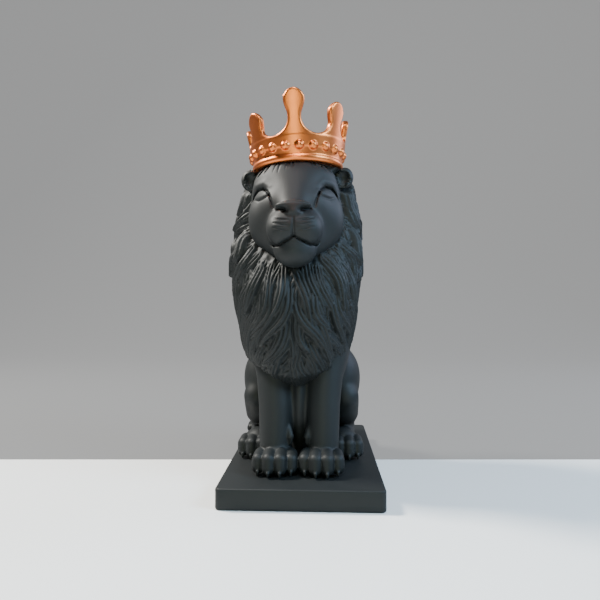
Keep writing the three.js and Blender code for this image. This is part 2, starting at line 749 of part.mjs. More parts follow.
// Half the width of a prong at a height above its foot.
function prongHalfWidth(height, top) {
  const foot = 1 - clamp(height / PRONG_FOOT_HEIGHT, 0, 1);
  const neck = PRONG_NECK_WIDTH / 2 + PRONG_FOOT_SPREAD * foot ** 2;
  const level = clamp((height - top) / PRONG_KNOB_RADIUS + 1, -1, 0.97);
  const knob = PRONG_KNOB_RADIUS * Math.sqrt(1 - level * level);
  return level > 0 ? knob : Math.max(neck, knob);
}

// The heights at which a prong is drawn: up from its foot, and down from its top.
const PRONG_FOOT_LEVELS = [-1.5, 0, 2, 4.5];
const PRONG_TOP_LEVELS = [10.5, 8.6, 6.1, 3, 1, 0];
const PRONG_COLUMNS = 2;

// A prong as a stack of curved bars, one at each level, all on the crown's cone.
function prongSolid(top, turn) {
  const points = [];
  const faces = [];
  const ring = 2 * (PRONG_COLUMNS + 1);
  const base = bandTop(CROWN_RADIUS * Math.sin(turn));
  const height = top - base;
  const levels = [...PRONG_FOOT_LEVELS, ...PRONG_TOP_LEVELS.map((down) => height - down)];
  levels.forEach((level) => {
    const z = base + level;
    const half = prongHalfWidth(Math.max(level, 0), height);
    for (let i = 0; i < ring; i++) {
      const outer = i <= PRONG_COLUMNS;
      const across = outer ? (2 * i) / PRONG_COLUMNS - 1 : 3 - (2 * (i - 1)) / PRONG_COLUMNS;
      const radius = outer ? crownOuter(z) + 0.15 : crownInner(z) - 0.15;
      const angle = turn + (across * half) / crownOuter(z);
      points.push([radius * Math.sin(angle), -radius * Math.cos(angle), z]);
    }
  });
  const last = levels.length - 1;
  for (let level = 0; level < last; level++)
    for (let i = 0; i < ring; i++) {
      const [a, b] = [level * ring + i, level * ring + ((i + 1) % ring)];
      faces.push([a, b, b + ring], [a, b + ring, a + ring]);
    }
  for (const [start, up] of [[0, false], [last * ring, true]])
    for (let i = 0; i < PRONG_COLUMNS; i++) {
      const [a, b, c, d] = [i, i + 1, ring - 2 - i, ring - 1 - i].map((n) => start + n);
      faces.push(...(up ? [[a, b, c], [a, c, d]] : [[c, b, a], [d, c, a]]));
    }
  return solidOf(points, faces);
}

function crownSolid() {
  let crown = solidFrom(bandGeometry());
  PRONG_TOPS.forEach((top, i) => {
    crown = crown.add(prongSolid(top, (i / PRONG_TOPS.length) * 2 * Math.PI));
  });
  for (let i = 0; i < BEAD_COUNT; i++) {
    const angle = ((i + BEAD_START) / BEAD_COUNT) * 2 * Math.PI;
    const radius = crownOuter(BEAD_LEVEL) - BEAD_SUNK;
    const bead = new THREE.OctahedronGeometry(BEAD_RADIUS, 1);
    bead.rotateZ(angle);
    bead.translate(radius * Math.sin(angle), -radius * Math.cos(angle), BEAD_LEVEL);
    crown = crown.add(solidFrom(bead));
  }
  return crown;
}

// The room that the crown's band takes in the head, with its gap all round.
function crownRoom() {
  const top = PRONG_TOPS[0];
  const outer = crownOuter(0) + CROWN_RIM_PROUD + CROWN_GAP;
  const outline = [
    [crownInner(0) - CROWN_GAP, -CROWN_GAP],
    [outer, -CROWN_GAP],
    [outer + CROWN_FLARE * top + BEAD_RADIUS, top],
    [crownInner(0) - CROWN_GAP, top],
    [crownInner(0) - CROWN_GAP, -CROWN_GAP],
  ].map(([r, z]) => new THREE.Vector2(r, z));
  return new THREE.LatheGeometry(outline, RING_SEGMENTS).rotateX(Math.PI / 2);
}

const LION_TRIANGLES = 6050;

// The face and the paws keep more of their form than the back and the rump.
function careAt([, y, z]) {
  if (z > 122 && y < -20) return 5;
  if (z < 22 && y < -8) return 3;
  return z > 45 ? 1.2 : 0.7;
}

function lionSolid(crownPlace) {
  const body = new Clay();
  shapeTrunk(body);
  for (const side of SIDES) {
    shapeHindLeg(body, side);
    shapeFrontLeg(body, side);
  }
  shapeTail(body);
  const mane = new Clay();
  mane.add(maneShape());
  const head = new Clay();
  shapeHead(head);
  body.join(mane, 1.2);
  body.join(head, 1.5);

  const { points, faces } = thinOut(surfaceOf(body), LION_TRIANGLES, careAt);
  const figure = points.map(([x, y, z]) => [
    x * UNIT + LION_SHIFT,
    y * UNIT,
    z * UNIT + PLINTH_THICKNESS,
  ]);
  const used = new Map();
  faces.flat().forEach((v) => used.has(v) || used.set(v, used.size));
  const kept = [...used.keys()].map((v) => figure[v]);
  const solid = solidOf(kept, faces.map((f) => f.map((v) => used.get(v))));
  const ground = new THREE.BoxGeometry(2 * PLINTH_LENGTH, 2 * PLINTH_LENGTH, PLINTH_LENGTH);
  ground.translate(0, 0, PLINTH_THICKNESS - PLINTH_LENGTH / 2);
  const seat = solidFrom(crownRoom().applyMatrix4(crownPlace));
  return solid.subtract(solidFrom(ground)).subtract(seat);
}

function plinthGeometry() {
  const [w, l] = [PLINTH_WIDTH / 2 - PLINTH_EDGE_ROUND, PLINTH_LENGTH / 2 - PLINTH_EDGE_ROUND];
  const r = PLINTH_CORNER_RADIUS;
  const outline = new THREE.Shape();
  outline.moveTo(-w + r, -l);
  outline.lineTo(w - r, -l);
  outline.absarc(w - r, -l + r, r, -Math.PI / 2, 0);
  outline.lineTo(w, l - r);
  outline.absarc(w - r, l - r, r, 0, Math.PI / 2);
  outline.lineTo(-w + r, l);
  outline.absarc(-w + r, l - r, r, Math.PI / 2, Math.PI);
  outline.lineTo(-w, -l + r);
  outline.absarc(-w + r, -l + r, r, Math.PI, 1.5 * Math.PI);
  const block = new THREE.ExtrudeGeometry(outline, {
    depth: PLINTH_THICKNESS - 2 * PLINTH_EDGE_ROUND,
    bevelSize: PLINTH_EDGE_ROUND,
    bevelThickness: PLINTH_EDGE_ROUND,
    bevelSegments: 1,
    curveSegments: 2,
  });
  return block.translate(0, 0, PLINTH_EDGE_ROUND);
}

const resin = new THREE.MeshStandardMaterial({ color: 0x30363a, roughness: 0.62, metalness: 0 });
const copper = new THREE.MeshStandardMaterial({ color: 0xd98a52, roughness: 0.3, metalness: 1 });

function named(name, geometry, material) {
  const mesh = new THREE.Mesh(geometry, material);
  mesh.name = name;
  return mesh;
}

const figurine = new THREE.Group();
figurine.add(named("plinth", plinthGeometry(), resin));

const crown = named("crown", geometryOf(crownSolid()), copper);
crown.position.set(...CROWN_SEAT);
crown.rotation.set(0, -CROWN_ROLL, 0);
crown.updateMatrix();
figurine.add(crown);

figurine.add(named("lion", geometryOf(lionSolid(crown.matrix)), resin));

export default figurine;
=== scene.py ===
import math

import bmesh
import bpy
import numpy as np
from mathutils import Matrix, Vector


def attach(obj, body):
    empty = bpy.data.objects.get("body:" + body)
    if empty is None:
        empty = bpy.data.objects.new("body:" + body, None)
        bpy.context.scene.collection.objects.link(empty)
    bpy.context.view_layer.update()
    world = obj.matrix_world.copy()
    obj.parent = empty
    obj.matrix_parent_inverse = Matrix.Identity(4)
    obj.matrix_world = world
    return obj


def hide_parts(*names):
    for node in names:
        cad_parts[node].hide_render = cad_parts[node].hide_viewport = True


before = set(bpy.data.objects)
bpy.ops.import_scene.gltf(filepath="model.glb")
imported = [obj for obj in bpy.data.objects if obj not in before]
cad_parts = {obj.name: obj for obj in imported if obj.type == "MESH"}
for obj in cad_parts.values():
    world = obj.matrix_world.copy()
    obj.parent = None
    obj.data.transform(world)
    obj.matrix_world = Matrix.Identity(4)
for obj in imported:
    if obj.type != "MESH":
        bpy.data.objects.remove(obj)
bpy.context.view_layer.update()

# Camera: level, a little to the lion's left of its middle, in front of the plinth's front edge.
PLINTH_FRONT = -0.075
CAMERA_AWAY = 0.2709
CAMERA_HEIGHT = 0.1129
camera = bpy.data.objects.new("camera", bpy.data.cameras.new("camera"))
bpy.context.collection.objects.link(camera)
camera.data.lens = 30
camera.data.sensor_width = 36
camera.data.shift_y = 4 / 600
yaw = math.radians(2.4)
camera.location.x = CAMERA_AWAY * math.sin(yaw)
camera.location.y = PLINTH_FRONT - CAMERA_AWAY * math.cos(yaw)
camera.location.z = CAMERA_HEIGHT
camera.rotation_euler = (math.radians(90), 0, yaw)
bpy.context.scene.camera = camera

# Body: trunk, haunches, straight legs, four-toed paws and tail, cast in resin with a matte charcoal
# coat and glued to the plinth. It is modelled like clay: signed distances on a grid, in millimetres
# above the plinth, to which shapes are added or carved away with soft joints.
SIDES = (-1, 1)
PLINTH_THICKNESS = 12.0
LION_SHIFT = np.array([-2.2, 0.0, PLINTH_THICKNESS])
PIECE_TRIANGLES = 195000


def scatter(i):
    value = np.sin(i * 12.9898) * 43758.5453
    return value - np.floor(value)


def smooth(a, b, x):
    t = np.clip((x - a) / (b - a), 0, 1)
    return t * t * (3 - 2 * t)


def smooth_min(a, b, blend):
    if blend <= 0:
        return np.minimum(a, b)
    h = np.maximum(blend - np.abs(a - b), 0) / blend
    return np.minimum(a, b) - h * h * blend / 4


def turn_matrix(about_x, about_y=0.0, about_z=0.0):
    ax, ay, az = np.radians([about_x, about_y, about_z])
    rx = np.array([[1, 0, 0], [0, np.cos(ax), -np.sin(ax)], [0, np.sin(ax), np.cos(ax)]])
    ry = np.array([[np.cos(ay), 0, np.sin(ay)], [0, 1, 0], [-np.sin(ay), 0, np.cos(ay)]])
    rz = np.array([[np.cos(az), -np.sin(az), 0], [np.sin(az), np.cos(az), 0], [0, 0, 1]])
    return rz @ ry @ rx


class Shape:
    """A ball that holds the shape, and its signed distance at points."""

    def __init__(self, center, reach, distance):
        self.center = np.array(center, float)
        self.reach = reach
        self.distance = distance

    def placed(self, matrix, offset):
        shift = -matrix.T @ offset

        def distance(x, y, z):
            return self.distance(*(matrix[0, a] * x + matrix[1, a] * y + matrix[2, a] * z + shift[a]
                                   for a in range(3)))

        return Shape(matrix @ self.center + offset, self.reach, distance)

    def turned(self, about_x, about_y=0.0, about_z=0.0):
        matrix = turn_matrix(about_x, about_y, about_z)
        return self.placed(matrix, self.center - matrix @ self.center)


def ellipsoid(center, radii):
    cx, cy, cz = center
    rx, ry, rz = radii

    def distance(x, y, z):
        px, py, pz = (x - cx) / rx, (y - cy) / ry, (z - cz) / rz
        near = np.sqrt(px * px + py * py + pz * pz)
        slope = np.sqrt((px / rx) ** 2 + (py / ry) ** 2 + (pz / rz) ** 2) + 1e-6
        return near * (near - 1) / slope

    return Shape(center, max(radii), distance)


def limb(points, radii, wide=1.0):
    points = np.array(points, float)
    low, high = points.min(0), points.max(0)
    reach = np.linalg.norm(high - low) / 2 + max(radii) * max(wide, 1)

    def distance(x, y, z):
        best = None
        for a, b, ra, rb in zip(points, points[1:], radii, radii[1:]):
            dx, dy, dz = (b - a) / (wide, 1, 1)
            px, py, pz = (x - a[0]) / wide, y - a[1], z - a[2]
            t = np.clip((px * dx + py * dy + pz * dz) / (dx * dx + dy * dy + dz * dz), 0, 1)
            d = np.sqrt((px - t * dx) ** 2 + (py - t * dy) ** 2 + (pz - t * dz) ** 2) - ra - t * (rb - ra)
            best = d if best is None else np.minimum(best, d)
        return best * min(wide, 1)

    return Shape((low + high) / 2, reach, distance)


def curved(points, radii, wide=1.0):
    """A limb along a smooth curve through the points."""
    route = np.column_stack([points, radii])
    slopes = np.gradient(route, axis=0)
    steps = np.linspace(0, len(route) - 1, 6 * len(route))
    i = np.minimum(steps.astype(int), len(route) - 2)
    t = (steps - i)[:, None]
    route = (route[i] * (1 + 2 * t) * (1 - t) ** 2 + route[i + 1] * t * t * (3 - 2 * t)
             + slopes[i] * t * (1 - t) ** 2 - slopes[i + 1] * t * t * (1 - t))
    return limb(route[:, :3], route[:, 3], wide)


class Clay:
    """The signed distance to a surface on a grid."""

    def __init__(self, cell, low, high):
        self.cell = cell
        self.low = np.array(low, float)
        self.size = np.ceil((np.array(high) - self.low) / cell).astype(int) + 1
        self.axes = [(self.low[a] + cell * np.arange(self.size[a])).astype(np.float32) for a in range(3)]
        self.field = np.full(self.size, 12.0, np.float32)

    def window(self, near, far):
        near = np.maximum(np.floor((near - self.low) / self.cell).astype(int), 0)
        far = np.minimum(np.ceil((far - self.low) / self.cell).astype(int) + 1, self.size)
        if (near >= far).any():
            return None
        part = tuple(slice(a, b) for a, b in zip(near, far))
        x = self.axes[0][part[0], None, None]
        y = self.axes[1][None, part[1], None]
        z = self.axes[2][None, None, part[2]]
        return part, x, y, z

    def work(self, shape, margin, change):
        found = self.window(shape.center - shape.reach - margin, shape.center + shape.reach + margin)
        if found:
            part, x, y, z = found
            self.field[part] = change(self.field[part], shape.distance(x, y, z))

    def add(self, shape, blend=0.0):
        self.work(shape, blend + 2 * self.cell, lambda old, d: smooth_min(old, d, blend))

    def carve(self, shape, blend=0.0):
        self.work(shape, blend + 2 * self.cell, lambda old, d: -smooth_min(-old, d, blend))

    def soften(self, reach):
        """Evens the surface out over about that distance."""
        for _ in range(max(1, round(2 * (reach / self.cell) ** 2))):
            for axis in range(3):
                f = np.moveaxis(self.field, axis, 0)
                f[1:-1] = 0.25 * f[:-2] + 0.5 * f[1:-1] + 0.25 * f[2:]


def shape_trunk(clay):
    clay.add(ellipsoid((0, -13, 94), (30, 28, 34)))
    clay.add(ellipsoid((0, 8, 70), (32, 28, 50)).turned(30), 10)
    clay.add(ellipsoid((0, 29, 36), (33, 32, 38)), 14)
    clay.add(ellipsoid((0, -6, 39), (9.5, 31, 42)), 2)


def shape_paw(clay, middle, tip, width):
    """A pad and four toes, each with a small claw, the outer ones set back."""
    clay.add(ellipsoid((middle, tip + 22, 7.0), (width * 0.44, 15, 8.6)), 3)
    pitch = width / 3.9
    for across, back, drop in ((-1.42, 3.4, 0.9), (-0.5, 0, 0), (0.5, 0, 0), (1.42, 3.4, 0.9)):
        x = middle + across * pitch
        y = tip + back
        knuckle = (x * 0.94 + middle * 0.06, y + 14, 10.4 - drop)
        clay.add(limb([knuckle, (x, y + 6.2, 9.7 - drop), (x, y + 5.2, 4.8)], [4.2, 4.0, 3.9]), 0.25)
        clay.add(limb([(x, y + 3.2, 4.2), (x, y + 1.2, 3.2), (x, y + 0.8, 1.0)], [1.5, 1.1, 0.6]), 0.2)


def shape_hind_leg(clay, side):
    clay.add(ellipsoid((side * 24, 20, 44), (16, 31, 26)).turned(24, 0, side * 6), 5)
    clay.add(ellipsoid((side * 26.5, 13, 52), (13.5, 22, 17)), 6)
    clay.add(limb([(side * 30.5, -4, 38), (side * 32, 12, 24), (side * 31.5, 34, 12)], [8.6, 8, 6.5]), 4)
    clay.add(limb([(side * 31, 38, 8), (side * 29.5, 4, 7), (side * 28.4, -8, 8)], [8, 7.5, 9]), 3)
    shape_paw(clay, side * 28.5, -26, 24.5)


def shape_front_leg(clay, side):
    clay.add(ellipsoid((side * 19.5, -14, 80), (13.5, 20, 32)).turned(-8), 6)
    leg = [(side * 17, -25, 66), (side * 15, -32, 38), (side * 14.8, -36, 16)]
    clay.add(limb(leg, [11.5, 10.4, 9.8]), 4)
    clay.add(ellipsoid((side * 18, -14, 58), (9, 11, 13)), 5)
    dewclaw = [(side * 6.8, -38, 25), (side * 5.2, -40.5, 20), (side * 5.0, -41, 16)]
    clay.add(limb(dewclaw, [2.4, 2.3, 1.0]), 1)
    shape_paw(clay, side * 13.8, -60, 26.6)


def shape_tail(clay):
    route = [(4, 58, 14), (-6, 64, 7), (-20, 63.5, 4.5), (-32, 58, 4.5), (-39, 49, 4.5), (-40.5, 41, 5)]
    clay.add(limb(route, [6.5, 5, 4.4, 4.2, 5.2, 3.2]), 2)


def sculpt_body(cell):
    clay = Clay(cell, (-50, -66, -8), (50, 74, 140))
    shape_trunk(clay)
    for side in SIDES:
        shape_hind_leg(clay, side)
        shape_front_leg(clay, side)
    shape_tail(clay)
    clay.field = np.maximum(clay.field, -0.2 - clay.axes[2][None, None, :])
    return clay


def tangled_table():
    """For each of the 256 ways to fill a cell's corners: are the full or the empty ones in two parts?"""
    table = np.zeros(256, bool)
    for config in range(256):
        for value in (0, 1):
            group = [c for c in range(8) if (config >> c) & 1 == value]
            if not group:
                continue
            reached, fresh = set(), {group[0]}
            while fresh:
                reached |= fresh
                fresh = {c ^ bit for c in fresh for bit in (1, 2, 4)} & set(group) - reached
            table[config] |= len(reached) < len(group)
    return table


TANGLED = tangled_table()


def skin(clay):
    """Points and four-cornered faces of the clay's surface, one point in each cell that it crosses."""
    f = clay.field
    f[[0, -1]] = f[:, [0, -1]] = f[:, :, [0, -1]] = 1.0
    steps = [((c & 1), (c >> 1) & 1, c >> 2) for c in range(8)]
    cells = tuple(n - 1 for n in f.shape)

    def corner(values, c):
        return values[tuple(slice(s, s + n) for s, n in zip(steps[c], cells))]

    for turn in range(40):
        config = np.zeros(cells, np.uint8)
        for c in range(8):
            config |= (corner(f, c) < 0).astype(np.uint8) << c
        tangled = np.argwhere(TANGLED[config])
        if not len(tangled):
            break
        values = np.stack([f[tuple((tangled + steps[c]).T)] for c in range(8)], 1)
        empty, full = np.where(values < 0, 1e9, values), np.where(values < 0, values, -1e9)
        fill = (empty.min(1) < 0.05 + 0.5 * np.abs(full.max(1))) & (turn < 12)
        pick = np.where(fill, empty.argmin(1), full.argmax(1))
        f[tuple((tangled + np.array(steps)[pick]).T)] = np.where(fill, -1e-3, 1e-3)
    found = np.argwhere((config > 0) & (config < 255))
    values = np.stack([f[tuple((found + steps[c]).T)] for c in range(8)], 1)
    total, count = np.zeros((len(found), 3)), np.zeros(len(found))
    for a in range(8):
        for bit in range(3):
            b = a | (1 << bit)
            if b == a:
                continue
            cross = (values[:, a] < 0) != (values[:, b] < 0)
            t = np.where(cross, values[:, a] / np.where(cross, values[:, a] - values[:, b], 1), 0)
            point = np.array(steps[a]) + np.outer(t, np.eye(3)[bit])
            total += point * cross[:, None]
            count += cross
    points = clay.low + (found + total / count[:, None]) * clay.cell
    number = np.full(cells, -1, np.int32)
    number[tuple(found.T)] = np.arange(len(found))
    faces = []
    inside = f < 0
    for axis in range(3):
        u, v = (axis + 1) % 3, (axis + 2) % 3
        near = [slice(None)] * 3
        far = [slice(None)] * 3
        near[axis], far[axis] = slice(0, -1), slice(1, None)
        for leaving in (True, False):
            first, second = (inside[tuple(near)], inside[tuple(far)])[::1 if leaving else -1]
            at = np.argwhere(first & ~second)
            ring = []
            for du, dv in ((1, 1), (0, 1), (0, 0), (1, 0)):
                cell = at.copy()
                cell[:, u] -= du
                cell[:, v] -= dv
                ring.append(number[tuple(cell.T)])
            faces.append(np.stack(ring if leaving else ring[::-1], 1))
    return points, np.concatenate(faces)


def settle(clay, points, rounds=2):
    """Moves the points onto the surface itself."""
    f = clay.field
    for _ in range(rounds):
        q = (points - clay.low) / clay.cell
        base = np.clip(np.floor(q).astype(int), 0, np.array(f.shape) - 2)
        t = q - base
        w = [(1 - t[:, a], t[:, a]) for a in range(3)]
        value, slope = 0, np.zeros_like(points)
        for c in range(8):
            i, j, k = c & 1, (c >> 1) & 1, c >> 2
            corner = f[base[:, 0] + i, base[:, 1] + j, base[:, 2] + k]
            value = value + corner * w[0][i] * w[1][j] * w[2][k]
            slope[:, 0] += corner * (2 * i - 1) * w[1][j] * w[2][k]
            slope[:, 1] += corner * (2 * j - 1) * w[0][i] * w[2][k]
            slope[:, 2] += corner * (2 * k - 1) * w[0][i] * w[1][j]
        slope /= clay.cell
        move = value / np.maximum((slope ** 2).sum(1), 0.2)
        points = points - np.clip(move, -0.3 * clay.cell, 0.3 * clay.cell)[:, None] * slope
    return points


def make_piece(name, points, faces, material, triangles):
    """A smooth mesh object from points in millimetres, thinned to that many triangles."""
    mesh = bpy.data.meshes.new(name)
    mesh.vertices.add(len(points))
    mesh.vertices.foreach_set("co", (points / 1000).astype(np.float32).ravel())
    mesh.loops.add(faces.size)
    mesh.loops.foreach_set("vertex_index", faces.astype(np.int32).ravel())
    mesh.polygons.add(len(faces))
    mesh.polygons.foreach_set("loop_start", np.arange(0, faces.size, faces.shape[1], dtype=np.int32))
    mesh.polygons.foreach_set("loop_total", np.full(len(faces), faces.shape[1], np.int32))
    mesh.update(calc_edges=True)
    piece = bpy.data.objects.new(name, mesh)
    bpy.context.collection.objects.link(piece)
    if 2 * len(faces) > triangles:
        thin = piece.modifiers.new("thin", "DECIMATE")
        thin.ratio = triangles / (2 * len(faces))
        thin.use_collapse_triangulate = True
        seen = piece.evaluated_get(bpy.context.evaluated_depsgraph_get())
        piece.data = bpy.data.meshes.new_from_object(seen)
        piece.modifiers.clear()
        bpy.data.meshes.remove(mesh)
        piece.data.name = name
    piece.data.polygons.foreach_set("use_smooth", np.ones(len(piece.data.polygons), bool))
    piece.data.materials.append(material)
    return piece


def cast_unevenness():
    """The soft, cloudy unevenness that casting leaves under a coat: a mask and a roughness."""
    group = bpy.data.node_groups.new("cast_unevenness", "ShaderNodeTree")
    for name in ("Scale", "Smoothest", "Roughest"):
        group.interface.new_socket(name, in_out="INPUT", socket_type="NodeSocketFloat")
    for name in ("Cloud", "Roughness"):
        group.interface.new_socket(name, in_out="OUTPUT", socket_type="NodeSocketFloat")
    nodes, links = group.nodes, group.links
    given = nodes.new("NodeGroupInput")
    result = nodes.new("NodeGroupOutput")
    place = nodes.new("ShaderNodeTexCoord")
    cloud = nodes.new("ShaderNodeTexNoise")
    cloud.inputs["Detail"].default_value = 3
    gloss = nodes.new("ShaderNodeMapRange")
    links.new(place.outputs["Object"], cloud.inputs["Vector"])
    links.new(given.outputs["Scale"], cloud.inputs["Scale"])
    links.new(cloud.outputs["Fac"], gloss.inputs["Value"])
    links.new(given.outputs["Smoothest"], gloss.inputs["To Min"])
    links.new(given.outputs["Roughest"], gloss.inputs["To Max"])
    links.new(cloud.outputs["Fac"], result.inputs["Cloud"])
    links.new(gloss.outputs["Result"], result.inputs["Roughness"])
    return group


def place_unevenness(material, scale, smoothest, roughest):
    cast = material.node_tree.nodes.new("ShaderNodeGroup")
    cast.node_tree = unevenness
    cast.inputs["Scale"].default_value = scale
    cast.inputs["Smoothest"].default_value = smoothest
    cast.inputs["Roughest"].default_value = roughest
    return cast


def resin_material():
    """Matte charcoal coat: a fine grain, and a little paler where it has been touched."""
    material = bpy.data.materials.new("charcoal_resin")
    material.use_nodes = True
    nodes, links = material.node_tree.nodes, material.node_tree.links
    shader = nodes["Principled BSDF"]
    cast = place_unevenness(material, 55, 0.52, 0.64)
    place = nodes.new("ShaderNodeTexCoord")
    grain = nodes.new("ShaderNodeTexNoise")
    grain.inputs["Scale"].default_value = 1900
    grain.inputs["Detail"].default_value = 2
    tone = nodes.new("ShaderNodeMix")
    tone.data_type = "RGBA"
    tone.inputs[6].default_value = (0.0050, 0.0065, 0.0072, 1)
    tone.inputs[7].default_value = (0.0077, 0.0099, 0.0108, 1)
    shader.inputs["Specular IOR Level"].default_value = 0.28
    bump = nodes.new("ShaderNodeBump")
    bump.inputs["Strength"].default_value = 0.25
    bump.inputs["Distance"].default_value = 0.00012
    links.new(place.outputs["Object"], grain.inputs["Vector"])
    links.new(cast.outputs["Cloud"], tone.inputs[0])
    links.new(grain.outputs["Fac"], bump.inputs["Height"])
    links.new(tone.outputs[2], shader.inputs["Base Color"])
    links.new(cast.outputs["Roughness"], shader.inputs["Roughness"])
    links.new(bump.outputs["Normal"], shader.inputs["Normal"])
    return material


unevenness = cast_unevenness()
resin = resin_material()
clay = sculpt_body(0.7)
points, faces = skin(clay)
body = make_piece("lion_body", settle(clay, points) + LION_SHIFT, faces, resin, 190000)
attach(body, "root")
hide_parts("lion")


# Mane: a column of hair round the neck and chest, cast in one with the body and combed out from the
# face and down. Its locks are laid on a flat map of the column, s round it and z up, and lifted off
# it. A station gives the column's height and its reach to the side, front and back.
MANE_AXIS_Y = -8.0
MANE_STATIONS = np.array([
    (50, 15, 30, 4), (58, 23, 36, 8), (68, 29, 40, 16), (84, 33.5, 42, 30), (104, 36.5, 42, 38),
    (124, 37.2, 36, 42), (142, 36.4, 26, 43), (158, 34.2, 18, 41), (172, 31.4, 16, 37), (184, 28.0, 18, 31),
    (192, 25, 16, 25), (199, 12, 8, 12)], float)
ARC = 42.0
FACE_LEVEL = 158.0
FACE_RING = (40.0, 33.0)
MAP_LOW = 30.0
MAP_HIGH = 210.0
SQUARENESS = 2.3
LOCK_STEPS = 18
STRAND_WIDTH = 2.3
STRAND_DEPTH = 2.3


def station_curve(z, n):
    """The stations' n-th size at a height, as a smooth curve through them."""
    heights, sizes = MANE_STATIONS[:, 0], MANE_STATIONS[:, n]
    slopes = np.gradient(sizes, heights)
    i = np.clip(np.searchsorted(heights, z) - 1, 0, len(heights) - 2)
    wide = heights[i + 1] - heights[i]
    t = np.clip((z - heights[i]) / wide, 0, 1)
    return (sizes[i] * (1 + 2 * t) * (1 - t) ** 2 + sizes[i + 1] * t * t * (3 - 2 * t)
            + wide * (slopes[i] * t * (1 - t) ** 2 - slopes[i + 1] * t * t * (1 - t)))


def mane_axis_x(z):
    return -0.8 - 1.8 * smooth(172, 140, z)


def mane_reach(angle, z):
    side, front, back = (station_curve(z, n) for n in (1, 2, 3))
    sine, cosine = np.sin(angle), np.cos(angle)
    deep = np.where(cosine > 0, front, back)
    return (np.abs(sine / side) ** SQUARENESS + np.abs(cosine / deep) ** SQUARENESS) ** (-1 / SQUARENESS)


def mane_hem(s):
    return 56 + 42 * (np.abs(s) / (np.pi * ARC)) ** 1.2


def combed(s, z):
    """Which way the hair runs at a place: out from the face, then down and outwards."""
    out = np.hypot(s / FACE_RING[0], (z - FACE_LEVEL) / FACE_RING[1]) + 1e-6
    away = np.exp(-np.maximum(out - 1, 0) * 2.4)
    side = np.tanh(s / 7)
    spread = (0.12 + 0.75 * smooth(104, 86, z)) * smooth(75, 40, abs(s)) + 0.12 * smooth(130, 60, abs(s))
    ds = s / FACE_RING[0] / out * away + side * spread * (1 - away)
    dz = (z - FACE_LEVEL) / FACE_RING[1] / out * away - (1 - away) - 0.2
    length = np.hypot(ds, dz)
    return ds / length, dz / length


def lock_paths(spacing, width, length, lift, seed):
    """Locks as (path, width, lift, seed): rows of wavy paths that follow the combing."""
    locks = []
    for row, z0 in enumerate(np.arange(196.0, 54.0, -spacing)):
        count = int(2 * np.pi * ARC / (width * 0.95))
        for i in range(count):
            seed += 1
            s = ((i + 0.5 * (row % 2)) / count - 0.5) * 2 * np.pi * ARC + (scatter(seed) - 0.5) * width * 0.4
            z = z0 + (scatter(seed + 0.29) - 0.5) * spacing
            out = np.hypot(s / FACE_RING[0], (z - FACE_LEVEL) / FACE_RING[1])
            if out < 0.9 or z < mane_hem(s) + 3:
                continue
            phase = scatter(seed + 0.37) * 2 * np.pi
            beside = smooth(30, 42, abs(s)) * smooth(100, 75, abs(s)) * smooth(128, 142, z)
            sway = (0.12 + 0.30 * scatter(seed + 0.71)) * (1 + 1.4 * beside)
            long = length * (0.75 + 0.5 * scatter(seed + 0.13)) * (1 - 0.35 * beside)
            path = [(s, z)]
            for n in range(LOCK_STEPS):
                ds, dz = combed(s, z)
                wave = sway * np.sin(phase + n / LOCK_STEPS * 1.7 * np.pi)
                s += (ds - wave * dz) * long / LOCK_STEPS
                z += (dz + wave * ds) * long / LOCK_STEPS
                path.append((s, z))
            size = width * (0.8 + 0.45 * scatter(seed + 0.9))
            locks.append((np.array(path), size, lift * (1 + 0.6 * beside), seed))
    return locks


def lay_lock(relief, grooves, cell, path, width, lift, seed):
    """Lays one lock on the relief map: rounded across, rising to its tip, split into strands."""
    rows, columns = relief.shape
    half = width / 2
    low, high = path.min(0) - half, path.max(0) + half
    c0, c1 = int(np.floor(low[0] / cell)), int(np.ceil(high[0] / cell)) + 1
    r0, r1 = max(int((low[1] - MAP_LOW) / cell), 0), min(int((high[1] - MAP_LOW) / cell) + 2, rows)
    if r1 <= r0:
        return
    s = (np.arange(c0, c1) * cell)[None, :].astype(np.float32)
    z = (MAP_LOW + np.arange(r0, r1) * cell)[:, None].astype(np.float32)
    best = np.full((r1 - r0, c1 - c0), 1e9, np.float32)
    along, offset = np.zeros_like(best), np.zeros_like(best)
    for n in range(len(path) - 1):
        a, d = path[n], path[n + 1] - path[n]
        t = np.clip(((s - a[0]) * d[0] + (z - a[1]) * d[1]) / (d @ d), 0, 1)
        ps, pz = s - a[0] - t * d[0], z - a[1] - t * d[1]
        away = ps * ps + pz * pz
        nearer = away < best
        best = np.where(nearer, away, best)
        along = np.where(nearer, (n + t) / (len(path) - 1), along)
        offset = np.where(nearer, np.sign(d[0] * pz - d[1] * ps), offset)
    taper = np.sqrt(np.clip(along / 0.1, 0.05, 1)) * np.cos(
        np.pi / 2 * np.clip((along - 0.30) / 0.70, 0, 1) ** 1.5)
    u = np.sqrt(best) * offset / (half * taper + 1e-3)
    strands = max(3, round(width / STRAND_WIDTH))
    v = 2 * np.mod(strands * (u + 1) / 2, 1) - 1
    groove = (1 - np.sqrt(np.clip(1 - 0.97 * v * v, 0, 1))) * smooth(0, 0.12, along)
    rise = (0.35 + 0.65 * smooth(0, 0.5, along)) * (0.75 + 0.5 * scatter(seed + 0.5))
    dome = 0.2 + 0.8 * np.sqrt(np.clip(1 - u * u, 0, 1))
    value = lift * rise * dome * (0.3 + 0.7 * smooth(1.0, 0.86, along))
    index = (np.arange(c0, c1) + columns // 2) % columns
    old = relief[r0:r1, index]
    wins = (np.abs(u) < 1) & (along < 0.98) & (value > old)
    relief[r0:r1, index] = np.where(wins, value, old)
    grooves[r0:r1, index] = np.where(wins, groove, grooves[r0:r1, index])


